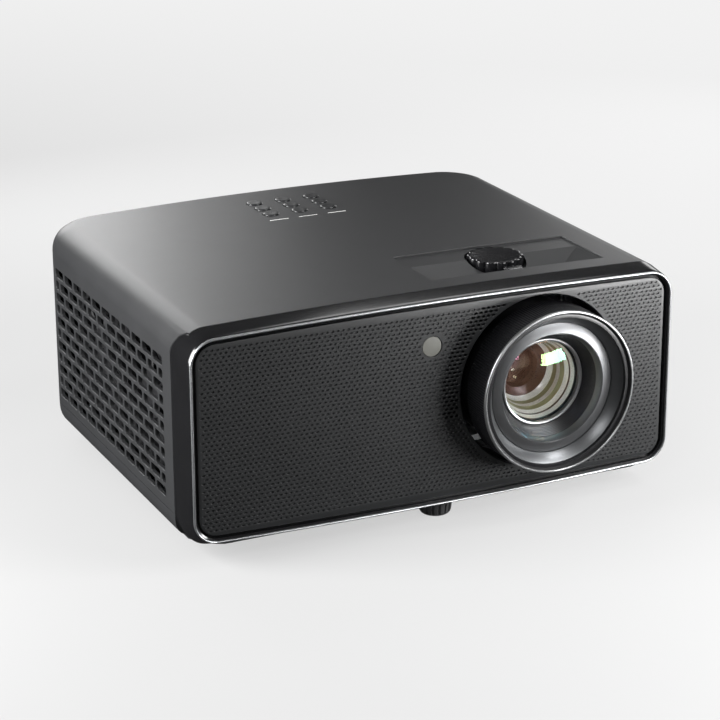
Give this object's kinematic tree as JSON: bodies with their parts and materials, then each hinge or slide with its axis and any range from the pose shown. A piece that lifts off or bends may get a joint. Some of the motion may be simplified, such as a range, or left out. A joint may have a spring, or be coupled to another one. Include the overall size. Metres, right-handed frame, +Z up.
{
  "type": "home projector",
  "caption": "Home projector with a large manual-focus lens, zoom lever, lens shift dial, keypad, vented side walls and screw feet.",
  "frame": {"origin": "bottom centre of the overall box, on the surface that the feet stand on", "axes": "+X to the right when facing the lens side, -Y out of the lens, +Z up"},
  "size_m": [0.337, 0.309, 0.1559],
  "materials": {
    "housing_plastic": "fine grain",
    "gloss_bezel": "polished",
    "rim_metal": "satin",
    "panel_plastic": "satin",
    "ir_plastic": "smooth",
    "cast_alloy": "cast",
    "steel": "turned",
    "lens_black": "matte",
    "ring_black": "satin",
    "satin_ring": "bead blasted",
    "lens_glass": "coated",
    "key_plastic": "satin",
    "indicator_white": "diffusing",
    "circuit_board": "solder resist",
    "fin_aluminium": "extruded",
    "copper": "bright",
    "fan_plastic": "moulded",
    "port_metal": "plated",
    "inlet_plastic": "moulded",
    "foot_plastic": "moulded"
  },
  "bodies": {
    "chassis": {"top_housing": "housing_plastic", "bottom_housing": "housing_plastic", "front_bezel": "gloss_bezel", "rim_trim": "rim_metal", "front_panel": "panel_plastic", "ir_window": "ir_plastic", "lens_shroud": "panel_plastic", "lens_frame": "cast_alloy", "shift_guide_rods": "steel", "keypad_board": "circuit_board", "indicator_bars": "indicator_white", "engine_housing": "cast_alloy", "prism_block": "lens_glass", "dmd_board": "circuit_board", "dmd_heatsink": "fin_aluminium", "phosphor_housing": "cast_alloy", "phosphor_motor": "steel", "laser_module": "copper", "laser_heatsink": "fin_aluminium", "heat_pipes": "copper", "fan_frames": "fan_plastic", "main_board": "circuit_board", "power_board": "circuit_board", "rear_io_panel": "panel_plastic", "signal_ports": "port_metal", "ac_inlet": "inlet_plastic", "speaker_box": "fan_plastic", "fasteners": "steel"},
    "carriage": {"lens_carriage": "cast_alloy", "lens_barrel": "lens_black", "lens_front_ring": "lens_black", "lens_baffle": "lens_black", "lens_retainer": "satin_ring", "front_lens": "lens_glass", "zoom_lens": "lens_glass", "rear_lens": "lens_glass"},
    "focus": {"focus_ring": "ring_black", "lens_front_rim": "satin_ring"},
    "zoom": {"zoom_ring": "ring_black"},
    "dial": {"shift_dial": "ring_black", "shift_screw": "steel"},
    "phosphor": {"phosphor_wheel": "fin_aluminium"},
    "rotor_front": {"fan_rotor_front": "fan_plastic"},
    "rotor_rear": {"fan_rotor_rear": "fan_plastic"},
    "rotor_exhaust": {"fan_rotor_exhaust": "fan_plastic"},
    "key_menu_cap": {"key_menu": "key_plastic"},
    "key_power_cap": {"key_power": "key_plastic"},
    "key_source_cap": {"key_source": "key_plastic"},
    "key_left_cap": {"key_left": "key_plastic"},
    "key_enter_cap": {"key_enter": "key_plastic"},
    "key_right_cap": {"key_right": "key_plastic"},
    "key_back_cap": {"key_back": "key_plastic"},
    "key_down_cap": {"key_down": "key_plastic"},
    "key_info_cap": {"key_info": "key_plastic"},
    "front_stud": {"front_foot_stud": "steel"},
    "front_pad": {"front_foot_pad": "foot_plastic"},
    "rear_left_stud": {"rear_left_foot_stud": "steel"},
    "rear_left_pad": {"rear_left_foot_pad": "foot_plastic"},
    "rear_right_stud": {"rear_right_foot_stud": "steel"},
    "rear_right_pad": {"rear_right_foot_pad": "foot_plastic"}
  },
  "joints": [
    {"name": "shift_dial_turn", "type": "hinge", "parent": "chassis", "child": "dial", "pos_m": [0.0724, -0.0655, 0.15], "axis": [0, 0, 1], "range_deg": [-452, 452]},
    {"name": "lens_shift", "type": "slide", "parent": "chassis", "child": "carriage", "axis": [0, 0, 1], "range_m": [-0.0025, 0.0025]},
    {"name": "focus_turn", "type": "hinge", "parent": "carriage", "child": "focus", "pos_m": [0.0724, -0.1405, 0.088], "axis": [0, 1, 0], "range_deg": [-90, 90]},
    {"name": "zoom_swing", "type": "hinge", "parent": "carriage", "child": "zoom", "pos_m": [0.0724, -0.0895, 0.088], "axis": [0, 1, 0], "range_deg": [-10, 10]},
    {"name": "phosphor_spin", "type": "hinge", "parent": "chassis", "child": "phosphor", "pos_m": [-0.022, 0.0075, 0.08], "axis": [1, 0, 0], "continuous": true},
    {"name": "fan_front_spin", "type": "hinge", "parent": "chassis", "child": "rotor_front", "pos_m": [-0.15, -0.0345, 0.085], "axis": [1, 0, 0], "continuous": true},
    {"name": "fan_rear_spin", "type": "hinge", "parent": "chassis", "child": "rotor_rear", "pos_m": [-0.15, 0.0555, 0.085], "axis": [1, 0, 0], "continuous": true},
    {"name": "fan_exhaust_spin", "type": "hinge", "parent": "chassis", "child": "rotor_exhaust", "pos_m": [0.15, 0.0295, 0.085], "axis": [1, 0, 0], "continuous": true},
    {"name": "key_menu_press", "type": "slide", "parent": "chassis", "child": "key_menu_cap", "axis": [0, 0, -1], "range_m": [0, 0.0008], "stiffness_N_per_m": 600, "springref_m": -0.0005},
    {"name": "key_power_press", "type": "slide", "parent": "chassis", "child": "key_power_cap", "axis": [0, 0, -1], "range_m": [0, 0.0008], "stiffness_N_per_m": 600, "springref_m": -0.0005},
    {"name": "key_source_press", "type": "slide", "parent": "chassis", "child": "key_source_cap", "axis": [0, 0, -1], "range_m": [0, 0.0008], "stiffness_N_per_m": 600, "springref_m": -0.0005},
    {"name": "key_left_press", "type": "slide", "parent": "chassis", "child": "key_left_cap", "axis": [0, 0, -1], "range_m": [0, 0.0008], "stiffness_N_per_m": 600, "springref_m": -0.0005},
    {"name": "key_enter_press", "type": "slide", "parent": "chassis", "child": "key_enter_cap", "axis": [0, 0, -1], "range_m": [0, 0.0008], "stiffness_N_per_m": 600, "springref_m": -0.0005},
    {"name": "key_right_press", "type": "slide", "parent": "chassis", "child": "key_right_cap", "axis": [0, 0, -1], "range_m": [0, 0.0008], "stiffness_N_per_m": 600, "springref_m": -0.0005},
    {"name": "key_back_press", "type": "slide", "parent": "chassis", "child": "key_back_cap", "axis": [0, 0, -1], "range_m": [0, 0.0008], "stiffness_N_per_m": 600, "springref_m": -0.0005},
    {"name": "key_down_press", "type": "slide", "parent": "chassis", "child": "key_down_cap", "axis": [0, 0, -1], "range_m": [0, 0.0008], "stiffness_N_per_m": 600, "springref_m": -0.0005},
    {"name": "key_info_press", "type": "slide", "parent": "chassis", "child": "key_info_cap", "axis": [0, 0, -1], "range_m": [0, 0.0008], "stiffness_N_per_m": 600, "springref_m": -0.0005},
    {"name": "front_foot_lift", "type": "slide", "parent": "chassis", "child": "front_stud", "axis": [0, 0, -1], "range_m": [0, 0.018]},
    {"name": "front_foot_turn", "type": "hinge", "parent": "front_stud", "child": "front_pad", "pos_m": [0.009, -0.1055, 0.006], "axis": [0, 0, 1], "range_deg": [-4400, 4400]},
    {"name": "rear_left_foot_lift", "type": "slide", "parent": "chassis", "child": "rear_left_stud", "axis": [0, 0, -1], "range_m": [0, 0.018]},
    {"name": "rear_left_foot_turn", "type": "hinge", "parent": "rear_left_stud", "child": "rear_left_pad", "pos_m": [-0.138, 0.0975, 0.006], "axis": [0, 0, 1], "range_deg": [-4400, 4400]},
    {"name": "rear_right_foot_lift", "type": "slide", "parent": "chassis", "child": "rear_right_stud", "axis": [0, 0, -1], "range_m": [0, 0.018]},
    {"name": "rear_right_foot_turn", "type": "hinge", "parent": "rear_right_stud", "child": "rear_right_pad", "pos_m": [0.138, 0.0975, 0.006], "axis": [0, 0, 1], "range_deg": [-4400, 4400]}
  ],
  "couplings": [
    {"joint": "shift_dial_turn", "follows": "lens_shift", "rad_per_m": 3141.6},
    {"joint": "front_foot_turn", "follows": "front_foot_lift", "rad_per_m": -4188.8},
    {"joint": "rear_left_foot_turn", "follows": "rear_left_foot_lift", "rad_per_m": -4188.8},
    {"joint": "rear_right_foot_turn", "follows": "rear_right_foot_lift", "rad_per_m": -4188.8}
  ]
}
